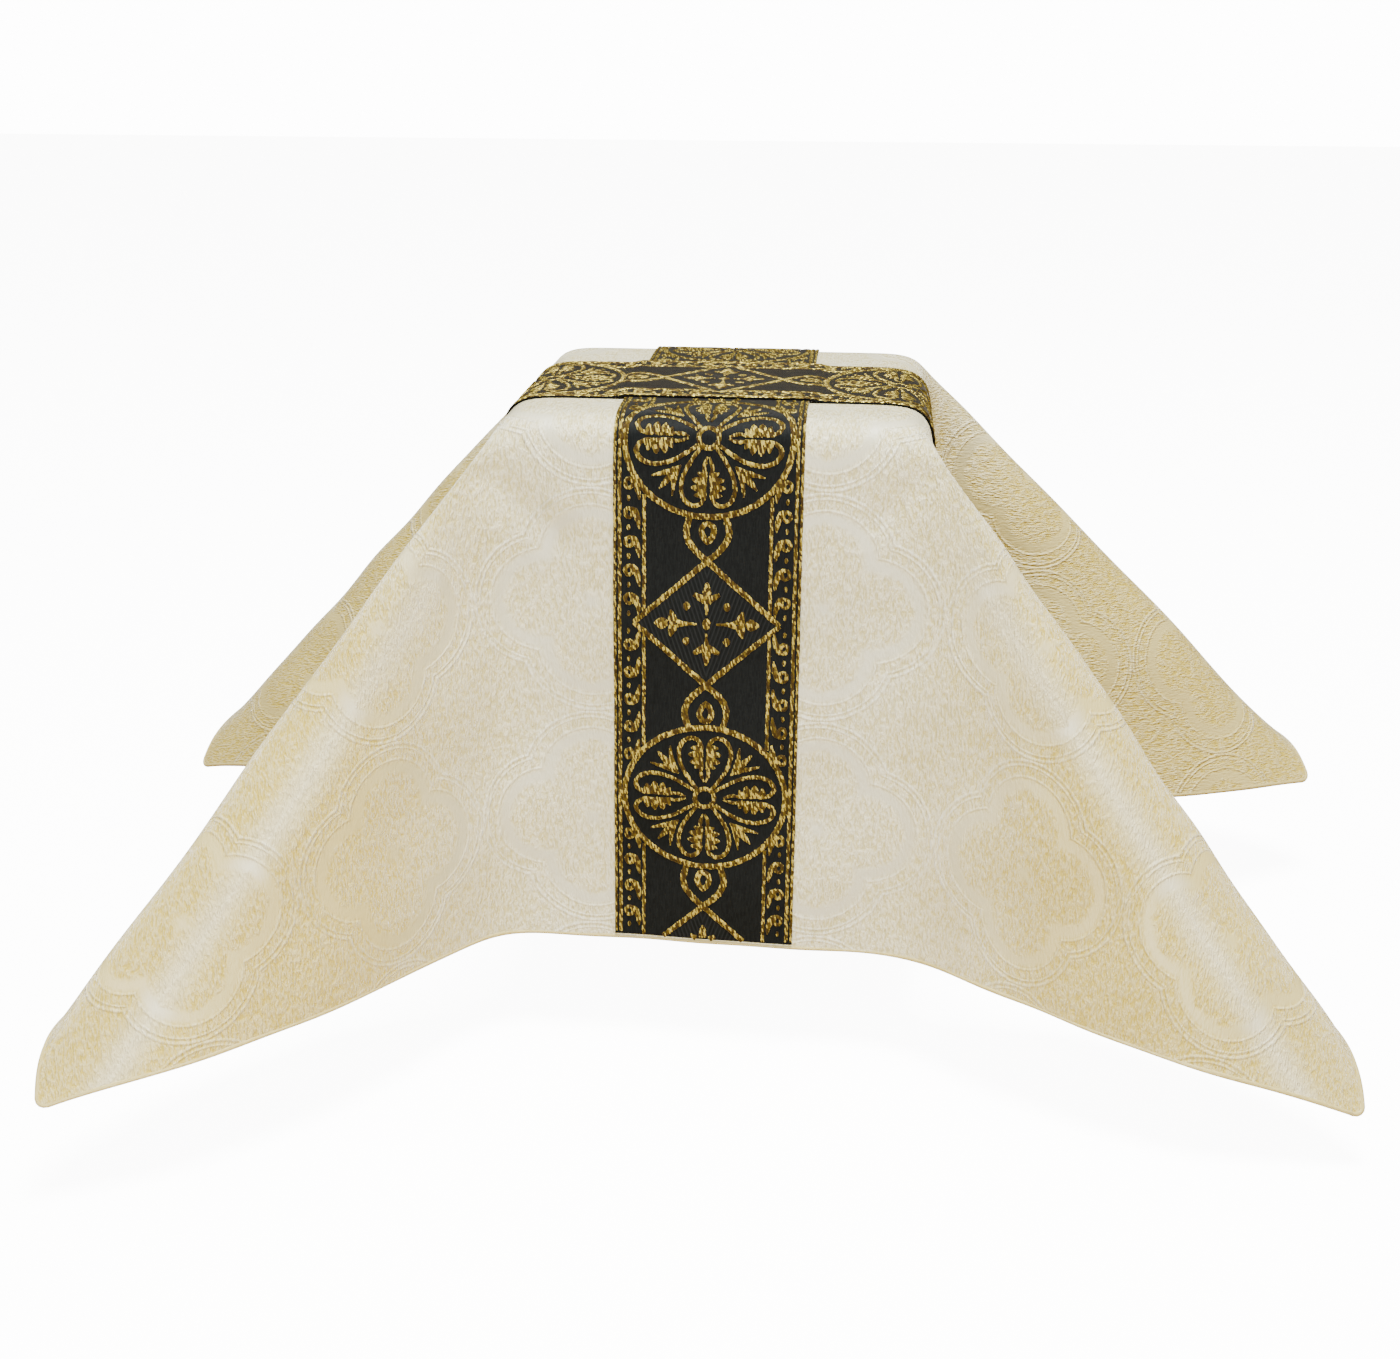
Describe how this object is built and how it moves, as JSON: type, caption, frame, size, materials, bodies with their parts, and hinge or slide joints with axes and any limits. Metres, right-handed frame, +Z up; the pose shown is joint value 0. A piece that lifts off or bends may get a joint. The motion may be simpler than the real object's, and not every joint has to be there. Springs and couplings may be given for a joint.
{
  "type": "urn pall",
  "caption": "Hollow draped urn pall: ivory jacquard cloth with four hanging horns and a cross of black and gold woven bands.",
  "frame": {"origin": "the middle of the flat underside of the pall's top, where it rests on what it covers", "axes": "+Z up, -Y towards the front hem, +X to the right seen from the front"},
  "size_m": [0.7554, 0.4997, 0.3267],
  "materials": {
    "jacquard": "ivory damask jacquard with large satin roundels",
    "galloon": "black woven band with metallic gold thread ornament"
  },
  "bodies": {
    "root": {"panel": "jacquard", "band_front_back": "galloon", "band_side_side": "galloon"}
  },
  "joints": []
}
